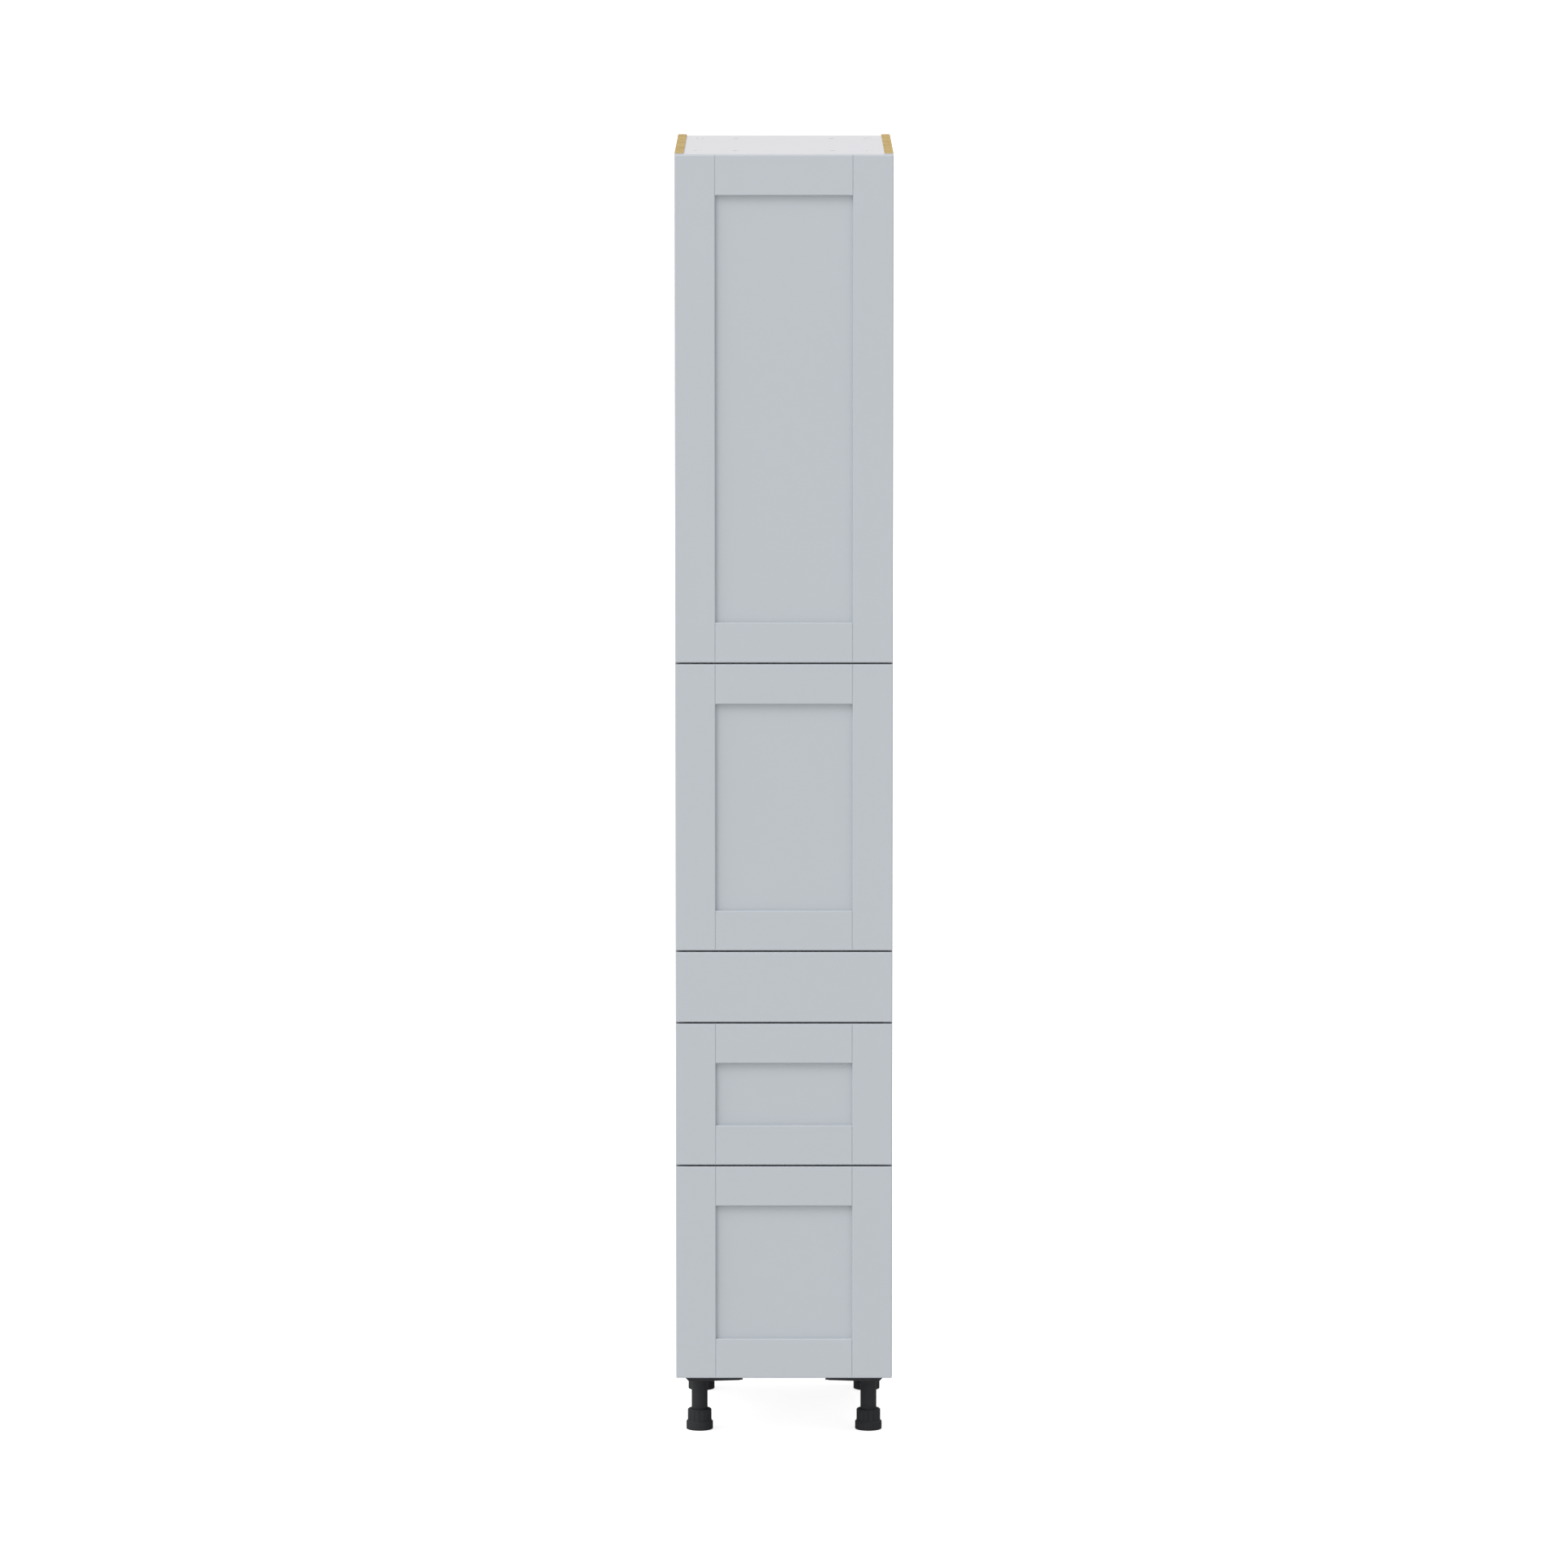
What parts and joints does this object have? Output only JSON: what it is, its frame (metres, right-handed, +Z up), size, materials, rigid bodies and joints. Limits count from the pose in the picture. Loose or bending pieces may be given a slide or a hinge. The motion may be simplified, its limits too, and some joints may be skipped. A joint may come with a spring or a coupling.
{
  "type": "pantry cabinet",
  "caption": "Tall narrow freestanding pantry cabinet on levelling legs, with framed doors above handleless drawers.",
  "frame": {"origin": "on the floor under the middle of the cabinet's outline", "axes": "+Z up, +X to the right as seen from the front, -Y out of the fronts"},
  "size_m": [0.381, 0.61, 2.2733],
  "materials": {
    "front_foil": "satin painted foil",
    "melamine_board": "white melamine over particleboard",
    "back_board": "white lacquered fibreboard",
    "black_plastic": "moulded, fine grain",
    "zinc_steel": "zinc plated",
    "white_steel": "smooth white enamel",
    "hinge_steel": "nickel plated"
  },
  "bodies": {
    "root": {"side_panel_left": "melamine_board", "side_panel_right": "melamine_board", "top_panel": "melamine_board", "bottom_panel": "melamine_board", "fixed_shelf_lower": "melamine_board", "fixed_shelf_upper": "melamine_board", "back_panel": "back_board", "rear_rails": "melamine_board", "shelf_lower_bay": "melamine_board", "shelf_upper_bay_low": "melamine_board", "shelf_upper_bay_high": "melamine_board", "shelf_pins": "zinc_steel", "cam_locks": "zinc_steel", "cam_bolts": "zinc_steel", "leg_sockets": "black_plastic", "leg_tubes": "black_plastic", "hinge_plates": "hinge_steel", "hinge_arms": "hinge_steel", "runner_rails": "zinc_steel"},
    "foot_front_left": {"foot_front_left": "black_plastic"},
    "grip_sleeve_front_left": {"grip_sleeve_front_left": "black_plastic"},
    "foot_front_right": {"foot_front_right": "black_plastic"},
    "grip_sleeve_front_right": {"grip_sleeve_front_right": "black_plastic"},
    "foot_rear_left": {"foot_rear_left": "black_plastic"},
    "grip_sleeve_rear_left": {"grip_sleeve_rear_left": "black_plastic"},
    "foot_rear_right": {"foot_rear_right": "black_plastic"},
    "grip_sleeve_rear_right": {"grip_sleeve_rear_right": "black_plastic"},
    "lower_door_links": {"lower_door_hinge_links": "hinge_steel"},
    "lower_door": {"lower_door_stiles": "front_foil", "lower_door_rails": "front_foil", "lower_door_inset_panel": "front_foil", "lower_door_hinge_cups": "hinge_steel"},
    "upper_door_links": {"upper_door_hinge_links": "hinge_steel"},
    "upper_door": {"upper_door_stiles": "front_foil", "upper_door_rails": "front_foil", "upper_door_inset_panel": "front_foil", "upper_door_hinge_cups": "hinge_steel"},
    "top_drawer": {"top_drawer_front": "front_foil", "top_drawer_side_walls": "white_steel", "top_drawer_base_board": "melamine_board", "top_drawer_back_board": "melamine_board", "top_drawer_drawer_runners": "zinc_steel"},
    "top_drawer_middle_runners": {"top_drawer_middle_runners": "zinc_steel"},
    "middle_drawer": {"middle_drawer_stiles": "front_foil", "middle_drawer_rails": "front_foil", "middle_drawer_inset_panel": "front_foil", "middle_drawer_side_walls": "white_steel", "middle_drawer_base_board": "melamine_board", "middle_drawer_back_board": "melamine_board", "middle_drawer_drawer_runners": "zinc_steel"},
    "middle_drawer_middle_runners": {"middle_drawer_middle_runners": "zinc_steel"},
    "bottom_drawer": {"bottom_drawer_stiles": "front_foil", "bottom_drawer_rails": "front_foil", "bottom_drawer_inset_panel": "front_foil", "bottom_drawer_side_walls": "white_steel", "bottom_drawer_base_board": "melamine_board", "bottom_drawer_back_board": "melamine_board", "bottom_drawer_drawer_runners": "zinc_steel"},
    "bottom_drawer_middle_runners": {"bottom_drawer_middle_runners": "zinc_steel"}
  },
  "joints": [
    {"name": "foot_front_left_rise", "type": "slide", "parent": "root", "child": "foot_front_left", "axis": [0, 0, -1], "range_m": [0, 0.02]},
    {"name": "grip_sleeve_front_left_turn", "type": "hinge", "parent": "foot_front_left", "child": "grip_sleeve_front_left", "pos_m": [-0.15, -0.177, 0.0266], "axis": [0, 0, -1], "range_deg": [0, 1800]},
    {"name": "foot_front_right_rise", "type": "slide", "parent": "root", "child": "foot_front_right", "axis": [0, 0, -1], "range_m": [0, 0.02]},
    {"name": "grip_sleeve_front_right_turn", "type": "hinge", "parent": "foot_front_right", "child": "grip_sleeve_front_right", "pos_m": [0.15, -0.177, 0.0266], "axis": [0, 0, -1], "range_deg": [0, 1800]},
    {"name": "foot_rear_left_rise", "type": "slide", "parent": "root", "child": "foot_rear_left", "axis": [0, 0, -1], "range_m": [0, 0.02]},
    {"name": "grip_sleeve_rear_left_turn", "type": "hinge", "parent": "foot_rear_left", "child": "grip_sleeve_rear_left", "pos_m": [-0.15, 0.198, 0.0266], "axis": [0, 0, -1], "range_deg": [0, 1800]},
    {"name": "foot_rear_right_rise", "type": "slide", "parent": "root", "child": "foot_rear_right", "axis": [0, 0, -1], "range_m": [0, 0.02]},
    {"name": "grip_sleeve_rear_right_turn", "type": "hinge", "parent": "foot_rear_right", "child": "grip_sleeve_rear_right", "pos_m": [0.15, 0.198, 0.0266], "axis": [0, 0, -1], "range_deg": [0, 1800]},
    {"name": "lower_door_link_turn", "type": "hinge", "parent": "root", "child": "lower_door_links", "pos_m": [-0.15341, -0.28321, 1.1303], "axis": [0, 0, -1], "range_deg": [-29.4, 0]},
    {"name": "lower_door_swing", "type": "hinge", "parent": "lower_door_links", "child": "lower_door", "pos_m": [-0.1787, -0.29216, 1.1303], "axis": [0, 0, -1], "range_deg": [0, 127.4]},
    {"name": "upper_door_link_turn", "type": "hinge", "parent": "root", "child": "upper_door_links", "pos_m": [-0.15341, -0.28321, 1.8288], "axis": [0, 0, -1], "range_deg": [-29.4, 0]},
    {"name": "upper_door_swing", "type": "hinge", "parent": "upper_door_links", "child": "upper_door", "pos_m": [-0.1787, -0.29216, 1.8288], "axis": [0, 0, -1], "range_deg": [0, 127.4]},
    {"name": "top_drawer_slide", "type": "slide", "parent": "root", "child": "top_drawer", "axis": [0, -1, 0], "range_m": [0, 0.48]},
    {"name": "top_drawer_runner_slide", "type": "slide", "parent": "root", "child": "top_drawer_middle_runners", "axis": [0, -1, 0], "range_m": [0, 0.24]},
    {"name": "middle_drawer_slide", "type": "slide", "parent": "root", "child": "middle_drawer", "axis": [0, -1, 0], "range_m": [0, 0.48]},
    {"name": "middle_drawer_runner_slide", "type": "slide", "parent": "root", "child": "middle_drawer_middle_runners", "axis": [0, -1, 0], "range_m": [0, 0.24]},
    {"name": "bottom_drawer_slide", "type": "slide", "parent": "root", "child": "bottom_drawer", "axis": [0, -1, 0], "range_m": [0, 0.48]},
    {"name": "bottom_drawer_runner_slide", "type": "slide", "parent": "root", "child": "bottom_drawer_middle_runners", "axis": [0, -1, 0], "range_m": [0, 0.24]}
  ],
  "couplings": [
    {"joint": "foot_front_left_rise", "follows": "grip_sleeve_front_left_turn", "m_per_rad": 0.0006366},
    {"joint": "foot_front_right_rise", "follows": "grip_sleeve_front_right_turn", "m_per_rad": 0.0006366},
    {"joint": "foot_rear_left_rise", "follows": "grip_sleeve_rear_left_turn", "m_per_rad": 0.0006366},
    {"joint": "foot_rear_right_rise", "follows": "grip_sleeve_rear_right_turn", "m_per_rad": 0.0006366},
    {"joint": "lower_door_link_turn", "follows": "lower_door_swing", "ratio": -0.23077},
    {"joint": "upper_door_link_turn", "follows": "upper_door_swing", "ratio": -0.23077},
    {"joint": "top_drawer_runner_slide", "follows": "top_drawer_slide", "ratio": 0.5},
    {"joint": "middle_drawer_runner_slide", "follows": "middle_drawer_slide", "ratio": 0.5},
    {"joint": "bottom_drawer_runner_slide", "follows": "bottom_drawer_slide", "ratio": 0.5}
  ]
}
